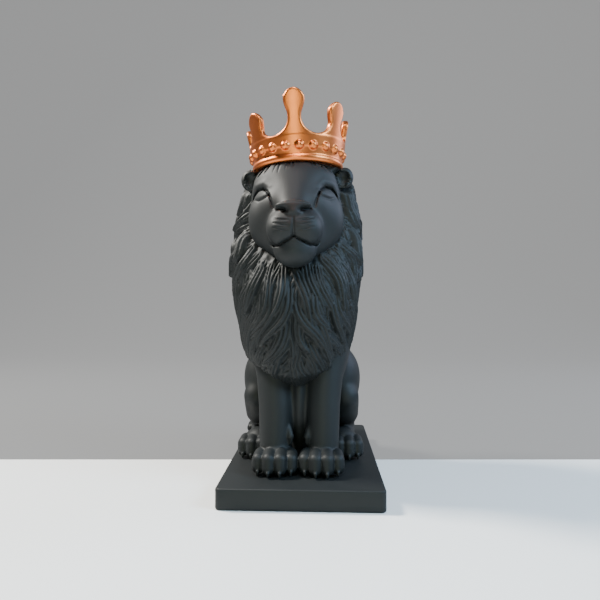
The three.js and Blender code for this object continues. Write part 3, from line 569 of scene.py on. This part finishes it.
def comb_mane(cell=0.35):
    columns = int(round(2 * np.pi * ARC / cell))
    relief = np.zeros((int((MAP_HIGH - MAP_LOW) / cell), columns), np.float32)
    grooves = np.zeros_like(relief)
    for lock in lock_paths(7.0, 9.0, 34.0, 2.0, 5000):
        lay_lock(relief, grooves, cell, *lock)
    for lock in lock_paths(10.0, 8.2, 46.0, 4.6, 1):
        lay_lock(relief, grooves, cell, *lock)
    return relief - STRAND_DEPTH * grooves, cell


def mane_shape(relief, cell):
    rows, columns = relief.shape

    def distance(x, y, z):
        x = x - mane_axis_x(z)
        y = y - MANE_AXIS_Y
        angle = np.arctan2(x, -y)
        z = z + 0 * angle
        c = np.mod(angle * ARC / cell + columns // 2, columns)
        r = np.clip((z - MAP_LOW) / cell, 0, rows - 1.001)
        c0, r0 = np.floor(c).astype(np.int32), np.floor(r).astype(np.int32)
        fc, fr = c - c0, r - r0
        c1, c0 = (c0 + 1) % columns, c0 % columns
        lifted = ((relief[r0, c0] * (1 - fc) + relief[r0, c1] * fc) * (1 - fr)
                  + (relief[r0 + 1, c0] * (1 - fc) + relief[r0 + 1, c1] * fc) * fr)
        below = np.clip((mane_hem(angle * ARC) - z) / 6, 0, 1) * 4
        across = np.hypot(x, y) - mane_reach(angle, z) - lifted + below
        return np.maximum(across * 0.85, np.maximum(50 - z, z - 200)).astype(np.float32)

    return Shape((0, -4, 122), 82, distance)


def sculpt_mane(cell):
    clay = Clay(cell, (-50, -62, 44), (50, 46, 203))
    clay.add(mane_shape(*comb_mane()))
    for side in SIDES:
        clay.carve(ellipsoid((-2.8 + side * 33.5, -27, 181.5), (10.5, 15, 9.5)), 2.5)
    return clay


clay = sculpt_mane(0.5)
points, faces = skin(clay)
mane = make_piece("mane", settle(clay, points) + LION_SHIFT, faces, resin, PIECE_TRIANGLES)
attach(mane, "root")
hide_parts("lion")


# Head: skull, broad bridge, full cheeks, muzzle and chin, cast in one with the mane. The eyes, lids,
# nostrils, mouth, whisker lines and short hair are pressed in from the front, in the head's own frame.
HEAD_CENTER = np.array([-2.5, -16.0, 160.0])
HEAD_MATRIX = turn_matrix(-2, -1.2, 0)


def in_face(clay, low, high):
    """The grid points in a window of the face, as head coordinates."""
    box = np.array([[x, y, z] for x in (low[0], high[0]) for y in (-56, -6) for z in (low[1], high[1])])
    box = box @ HEAD_MATRIX.T + HEAD_CENTER
    found = clay.window(box.min(0), box.max(0))
    if not found:
        return None
    part, x, y, z = found
    x, y, z = x - HEAD_CENTER[0], y - HEAD_CENTER[1], z - HEAD_CENTER[2]
    return part, [HEAD_MATRIX[0, a] * x + HEAD_MATRIX[1, a] * y + HEAD_MATRIX[2, a] * z for a in (0, 2)]


def press_line(clay, points, widths, depths):
    """Presses a line into the face: a groove of that half width and depth at each point."""
    points = np.array(points, float)
    margin = max(widths) * 2.5
    found = in_face(clay, points.min(0) - margin, points.max(0) + margin)
    if not found:
        return
    part, (x, z) = found
    best, wide, deep = 1e9, 1.0, 0.0
    for n in range(len(points) - 1):
        a, d = points[n], points[n + 1] - points[n]
        t = np.clip(((x - a[0]) * d[0] + (z - a[1]) * d[1]) / (d @ d), 0, 1)
        away = np.hypot(x - a[0] - t * d[0], z - a[1] - t * d[1])
        nearer = away < best
        wide = np.where(nearer, widths[n] + t * (widths[n + 1] - widths[n]), wide)
        deep = np.where(nearer, depths[n] + t * (depths[n + 1] - depths[n]), deep)
        best = np.where(nearer, away, best)
    clay.field[part] += (deep * np.exp(-(best / wide) ** 2)).astype(np.float32)


def press_spot(clay, center, radii, depth, lean=0.0, sharp=2.0):
    """Presses an oval hollow into the face, or with a negative depth raises a bump."""
    reach = max(radii) * 2
    found = in_face(clay, np.array(center) - reach, np.array(center) + reach)
    if not found:
        return
    part, (x, z) = found
    c, s = np.cos(np.radians(lean)), np.sin(np.radians(lean))
    u = ((x - center[0]) * c + (z - center[1]) * s) / radii[0]
    v = (-(x - center[0]) * s + (z - center[1]) * c) / radii[1]
    clay.field[part] += (depth * np.exp(-(u * u + v * v) ** (sharp / 2))).astype(np.float32)


def shape_head(clay):
    def add(shape, blend=0.0):
        clay.add(shape.placed(HEAD_MATRIX, HEAD_CENTER), blend)

    def carve(shape, blend=0.0):
        clay.carve(shape.placed(HEAD_MATRIX, HEAD_CENTER), blend)

    add(ellipsoid((0, 2, 8), (29.5, 31, 33)), 5)
    add(ellipsoid((0, -13, 16), (25.5, 15, 15)), 6)
    add(ellipsoid((0, -18, -20), (20, 18, 15)), 5)
    for side in SIDES:
        add(ellipsoid((side * 16, -10, -6), (14.4, 18, 21)), 6)
    # bridge of the nose, muzzle, chin
    add(curved([(0, 1, 28), (0, -12, 20), (0, -25.5, 9), (0, -36.3, -3)], [7, 9.6, 9.2, 6.0], 1.5), 8)
    for side in SIDES:
        add(ellipsoid((side * 12.5, -24, -2), (7, 9, 11)), 7)
    add(ellipsoid((0, -31, -14.5), (16.0, 15, 11.5)), 4)
    add(ellipsoid((0, -32.5, -29), (12.5, 11, 9.8)), 4.5)
    for side in SIDES:
        add(ellipsoid((side * 7.6, -36, -16.6), (8.6, 9.6, 9.4)), 3.2)
    clay.soften(1.3)
    # nose pad
    add(ellipsoid((0, -42.0, -4.0), (10.6, 5.0, 3.2)), 1.4)
    add(ellipsoid((0, -43.2, -7.2), (5.2, 3.8, 3.2)), 1.6)
    # ears, cupped towards the front
    for side in SIDES:
        reach = 31.0 + 0.9 * side
        add(limb([(side * 25, 2, 19), (side * 29, -3, 21)], [7.5, 5.0]), 2)
        add(ellipsoid((side * reach, -4.5, 22.0), (5.9, 3.5, 6.9)).turned(0, side * 16, side * 20), 1.6)
        cup = ellipsoid((side * (reach - 0.5), -9.0, 21.0), (4.3, 5.2, 5.4))
        carve(cup.turned(0, side * 16, side * 20), 0.7)
    for side in SIDES:
        press_line(clay, [(side * 3.4, -7.4), (side * 6.2, -5.4), (side * 9.8, -4.8)], [0.9, 1.1, 0.8],
                   [1.1, 1.6, 0.8])
        # crease from the inner corner of the eye down beside the nose
        press_line(clay, [(side * 15.2, 6.2), (side * 13.6, 1.6), (side * 12.2, -3.4)], [0.5, 0.55, 0.6],
                   [1.5, 1.2, 0.4])
        # eye: a hollow under the brow with the eyeball low in it, an arched upper lid, a soft lower lid
        press_spot(clay, (side * 20.6, 7.6), (7.0, 4.0), 1.0, side * -8)
        press_spot(clay, (side * 20.2, 6.9), (4.6, 3.0), -1.35, side * -6, 3.0)
        press_line(clay, [(side * 14.6, 4.6), (side * 16.2, 8.2), (side * 19.2, 11.0), (side * 22.6, 11.0),
                          (side * 25.2, 8.6), (side * 27.4, 4.6)], [0.4, 0.55, 0.65, 0.75, 0.65, 0.4],
                   [1.0, 1.5, 1.8, 2.1, 1.7, 0.4])
        press_line(clay, [(side * 16.0, 4.4), (side * 19.0, 3.3), (side * 21.8, 3.3), (side * 24.4, 4.8)],
                   [0.6, 0.7, 0.7, 0.6], [0.35, 0.4, 0.4, 0.3])
        brow = [(side * 15.2, 11.2), (side * 19.0, 14.4), (side * 24.2, 14.0), (side * 27.6, 10.4)]
        press_line(clay, brow, [1.8, 2.4, 2.4, 1.8], [-0.3, -0.6, -0.6, -0.3])
        # whisker lines
        for k in range(3):
            z = -12.8 - 2.8 * k
            whisker = [(side * 2.6, z), (side * 7, z + 0.5), (side * 11.6, z + 1.6)]
            press_line(clay, whisker, [0.45, 0.6, 0.45], [0.2, 0.85, 0.25])
    # cleft below the nose, and the mouth
    press_line(clay, [(0, -10.4), (0, -15), (0, -21.0)], [0.6, 0.7, 1.1], [0.3, 0.6, 1.2])
    for side in SIDES:
        press_line(clay, [(side * 0.4, -21.6), (side * 4, -23.9), (side * 9.2, -26.2), (side * 12.2, -25.6),
                          (side * 14.8, -23.6)], [0.6, 0.7, 0.75, 0.7, 0.45], [1.0, 1.6, 1.8, 1.6, 0.6])
    # short tufts fanning down from under the crown, longer at the sides, and hair before the ears
    for i in range(46):
        x = (i - 22.5) * 1.18 + (scatter(i + 300) - 0.5) * 1.6
        top = 34.0 - 0.012 * x * x - 2.4 * scatter(i + 310)
        long = 4.0 + 8.5 * scatter(i + 320) ** 1.6 + 0.006 * x * x
        fan = 0.016 * x * abs(x) ** 0.5 + 0.35 * (scatter(i + 340) - 0.5)
        middle = (x + fan * long * 0.5 + 0.5 * (scatter(i + 350) - 0.5), top - long * 0.5)
        press_line(clay, [(x, top), middle, (x + fan * long, top - long)], [0.42, 0.5, 0.25],
                   [0.5 + 0.9 * scatter(i + 360), 0.8, 0.05])
    for side in SIDES:
        for i in range(16):
            x = 24.6 + 0.28 * i + 1.6 * (scatter(i + 400 + side) - 0.5)
            z = 25.5 - 1.9 * i
            long = 4.5 + 3.0 * scatter(i + 420 + side)
            press_line(clay, [(side * (x + long), z - 1.0 + 0.25 * i), (side * (x + long * 0.5), z + 0.6),
                              (side * x, z + 0.4)], [0.7, 0.5, 0.3], [1.4, 0.9, 0.1])


def sculpt_head(cell):
    clay = Clay(cell, (-48, -66, 110), (46, 24, 204))
    shape_head(clay)
    return clay


clay = sculpt_head(0.45)
points, faces = skin(clay)
head = make_piece("head", settle(clay, points) + LION_SHIFT, faces, resin, PIECE_TRIANGLES)
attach(head, "root")
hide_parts("lion")


# Crown: a separate cast ring with copper-coloured plating, set on the head. A flared band with a
# rounded rim at its foot, a row of beads and seven prongs with rounded knobs, the front one longer.
CROWN_RADIUS = 28.4
CROWN_FLARE = 0.20
CROWN_WALL = 4.4
CROWN_BAND = 16.1
CROWN_SLOPE = 0.025
CROWN_PLACE = turn_matrix(0, -1.8, 0)
CROWN_SEAT = np.array([-3.9, -13.5, PLINTH_THICKNESS + 188.0])
PRONG_TOPS = (42.0, 37.3, 35.6, 35.0, 33.4, 31.6, 33.0)
BEADS = 22
BEAD_RADIUS = 3.0
BEAD_LEVEL = 9.4


def crown_shape(x, y, z):
    """Signed distance to the crown, from the middle of its foot."""
    r = np.hypot(x, y) + 0 * z
    angle = np.arctan2(x, -y) + 0 * z
    z = z + 0 * r
    outer = CROWN_RADIUS + CROWN_FLARE * z
    top = CROWN_BAND + CROWN_SLOPE * x
    through = np.abs(r - outer + CROWN_WALL / 2) - CROWN_WALL / 2
    band = -smooth_min(-through, -np.maximum(z - top + 3, -z), 1.6)
    rim = (np.hypot((r - CROWN_RADIUS + 0.5) / 2.0, (z - 2.4) / 2.4) - 1) * 2.0
    d = smooth_min(band, rim, 0.5)
    for i, height in enumerate(PRONG_TOPS):
        turn = i / len(PRONG_TOPS) * 2 * np.pi
        a = np.abs(np.mod(angle - turn + np.pi, 2 * np.pi) - np.pi) * (outer - CROWN_WALL / 2)
        foot = np.clip((top + 9 - z) / 8, 0, 1.5)
        neck = np.maximum((a - 4.1 - 4.0 * foot ** 1.7) / (1 + 0.5 * foot), z - height + 6.5)
        knob = (np.hypot(a / 6.1, (z - height + 6.2) / 6.2) - 1) * 6.1
        outline = smooth_min(smooth_min(neck, knob, 4.5), z - top, 5.0)
        prong = -smooth_min(-through, -np.maximum(outline, 8 - z), 1.8)
        d = smooth_min(d, prong, 0.4)
    step = 2 * np.pi / BEADS
    a = np.mod(angle - 0.29 * step + step / 2, step) - step / 2
    out = CROWN_RADIUS + CROWN_FLARE * BEAD_LEVEL - 0.9
    bead = np.sqrt((a * out) ** 2 + (r - out) ** 2 + (z - BEAD_LEVEL) ** 2) - BEAD_RADIUS
    return smooth_min(d, bead, 0.3)


def sculpt_crown(cell):
    clay = Clay(cell, (-39, -39, -2), (39, 39, 45))
    clay.field = crown_shape(clay.axes[0][:, None, None], clay.axes[1][None, :, None],
                             clay.axes[2][None, None, :]).astype(np.float32)
    return clay


def copper_material():
    """Copper-coloured plating over a cast ring: polished, with soft unevenness left by the casting."""
    material = bpy.data.materials.new("copper_plating")
    material.use_nodes = True
    nodes, links = material.node_tree.nodes, material.node_tree.links
    shader = nodes["Principled BSDF"]
    shader.inputs["Base Color"].default_value = (0.64, 0.175, 0.048, 1)
    shader.inputs["Metallic"].default_value = 1
    cast = place_unevenness(material, 160, 0.32, 0.40)
    bump = nodes.new("ShaderNodeBump")
    bump.inputs["Strength"].default_value = 0.08
    bump.inputs["Distance"].default_value = 0.0002
    links.new(cast.outputs["Cloud"], bump.inputs["Height"])
    links.new(cast.outputs["Roughness"], shader.inputs["Roughness"])
    links.new(bump.outputs["Normal"], shader.inputs["Normal"])
    return material


clay = sculpt_crown(0.4)
points, faces = skin(clay)
points = settle(clay, points) @ CROWN_PLACE.T + CROWN_SEAT
crown = make_piece("crown_ring", points, faces, copper_material(), 190000)
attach(crown, "root")
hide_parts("crown")


# Plinth: a rectangular slab of the same resin under the lion's feet, cast on its own, with slightly
# rounded corners and edges. Its flat underside rests on the shelf.
PLINTH_WIDTH = 0.094
PLINTH_LENGTH = 0.150
PLINTH_CORNER = 0.0030
PLINTH_EDGE = 0.0011


def rounded_slab(name, width, length, height, corner, edge):
    form = bmesh.new()
    ring = []
    for cx, cy, start in ((1, -1, -90), (1, 1, 0), (-1, 1, 90), (-1, -1, 180)):
        for i in range(7):
            a = math.radians(start + 15 * i)
            x = cx * (width / 2 - corner) + corner * math.cos(a)
            y = cy * (length / 2 - corner) + corner * math.sin(a)
            ring.append(form.verts.new((x, y, 0)))
    bottom = form.faces.new(ring[::-1])
    up = bmesh.ops.extrude_face_region(form, geom=[bottom])["geom"]
    raised = [v for v in up if isinstance(v, bmesh.types.BMVert)]
    bmesh.ops.translate(form, vec=(0, 0, height), verts=raised)
    bmesh.ops.recalc_face_normals(form, faces=form.faces)
    level = [e for e in form.edges if abs(e.verts[0].co.z - e.verts[1].co.z) < 1e-6]
    bmesh.ops.bevel(form, geom=level, offset=edge, segments=4, profile=0.5, affect="EDGES")
    mesh = bpy.data.meshes.new(name)
    form.to_mesh(mesh)
    form.free()
    mesh.polygons.foreach_set("use_smooth", np.ones(len(mesh.polygons), bool))
    mesh.set_sharp_from_angle(angle=math.radians(40))
    slab = bpy.data.objects.new(name, mesh)
    bpy.context.collection.objects.link(slab)
    return slab


plinth = rounded_slab("plinth_slab", PLINTH_WIDTH, PLINTH_LENGTH, PLINTH_THICKNESS / 1000,
                      PLINTH_CORNER, PLINTH_EDGE)
plinth.data.materials.append(resin)
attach(plinth, "root")
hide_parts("plinth")


# Room: a pale glossy table top that ends behind the plinth, square to the camera, and a grey wall
# far behind it, which curves up from the ground.
TABLE_BACK = 0.3629
GROUND = -0.0005
WALL_BEND = 0.6


def plain(name, color, roughness):
    material = bpy.data.materials.new(name)
    material.use_nodes = True
    shader = material.node_tree.nodes["Principled BSDF"]
    shader.inputs["Base Color"].default_value = (*color, 1)
    shader.inputs["Roughness"].default_value = roughness
    return material


def panel(name, corners, material):
    mesh = bpy.data.meshes.new(name)
    mesh.from_pydata(corners, [], [(0, 1, 2, 3)])
    mesh.materials.append(material)
    piece = bpy.data.objects.new(name, mesh)
    bpy.context.collection.objects.link(piece)
    return piece


table = panel("table_top", [(-2, -1.5, 0), (2, -1.5, 0), (2, 0, 0), (-2, 0, 0)],
              plain("table_top", (0.88, 0.88, 0.87), 0.22))
for vertex in table.data.vertices:
    x, y = vertex.co.x, vertex.co.y
    away = TABLE_BACK if y == 0 else -1.0
    vertex.co.x = camera.location.x + x * math.cos(yaw) - away * math.sin(yaw)
    vertex.co.y = camera.location.y + x * math.sin(yaw) + away * math.cos(yaw)
backdrop = plain("backdrop", (0.03, 0.03, 0.03), 0.95)
backdrop.node_tree.nodes["Principled BSDF"].inputs["Emission Color"].default_value = (1, 1, 1, 1)
backdrop.node_tree.nodes["Principled BSDF"].inputs["Emission Strength"].default_value = 0.335
profile = [(-1.5, GROUND), (WALL_BEND, GROUND)]
for t in range(6, 91, 6):
    bend = math.radians(t)
    profile.append((WALL_BEND * (1 + math.sin(bend)), GROUND + WALL_BEND * (1 - math.cos(bend))))
profile.append((2 * WALL_BEND, 3.0))
sweep = bpy.data.meshes.new("sweep")
sweep.from_pydata([(x, y, z) for y, z in profile for x in (-3, 3)], [],
                  [(2 * i, 2 * i + 1, 2 * i + 3, 2 * i + 2) for i in range(len(profile) - 1)])
sweep.materials.append(backdrop)
sweep.polygons.foreach_set("use_smooth", np.ones(len(sweep.polygons), bool))
wall = bpy.data.objects.new("wall", sweep)
bpy.context.collection.objects.link(wall)


# Light: a soft key light high on the left and a little behind, cooler light from the right, a soft
# fill from the front that the crown mirrors, one from above, and a faint reddish glow on the
# forehead, as the crown throws it.
def lamp(kind, name, place, aim, power, color):
    light = bpy.data.lights.new(name, kind)
    light.energy = power
    light.color = color
    holder = bpy.data.objects.new(name, light)
    holder.location = place
    holder.rotation_euler = (Vector(aim) - Vector(place)).to_track_quat("-Z", "Y").to_euler()
    bpy.context.collection.objects.link(holder)
    return light


FIGURE = (0, 0, 0.12)
lamp("AREA", "key", (-0.66, 0.09, 0.84), (0, 0, 0.10), 27.0, (1.0, 0.97, 0.90)).size = 0.18
lamp("AREA", "sky", (0.78, -0.36, 0.66), FIGURE, 13.0, (0.50, 0.76, 1.0)).size = 0.4
lamp("AREA", "rim", (0.75, 0.35, 0.50), FIGURE, 4.0, (0.64, 0.74, 1.0)).size = 0.4
lamp("AREA", "front", (-0.08, -1.30, 0.26), FIGURE, 4.1, (0.90, 1.0, 0.62)).size = 0.34
lamp("AREA", "top", (0.05, -0.62, 1.10), FIGURE, 9.0, (0.88, 0.95, 1.0)).size = 0.3
glow = lamp("SPOT", "crown_glow", (0, -0.50, 0.40), (-0.004, -0.048, 0.178), 7.0, (1.0, 0.30, 0.22))
glow.spot_size = math.radians(7)
glow.spot_blend = 1.0
glow.shadow_soft_size = 0.01
world = bpy.data.worlds.new("room")
world.use_nodes = True
world.node_tree.nodes["Background"].inputs["Color"].default_value = (0.8, 0.8, 0.82, 1)
world.node_tree.nodes["Background"].inputs["Strength"].default_value = 0.02
bpy.context.scene.world = world
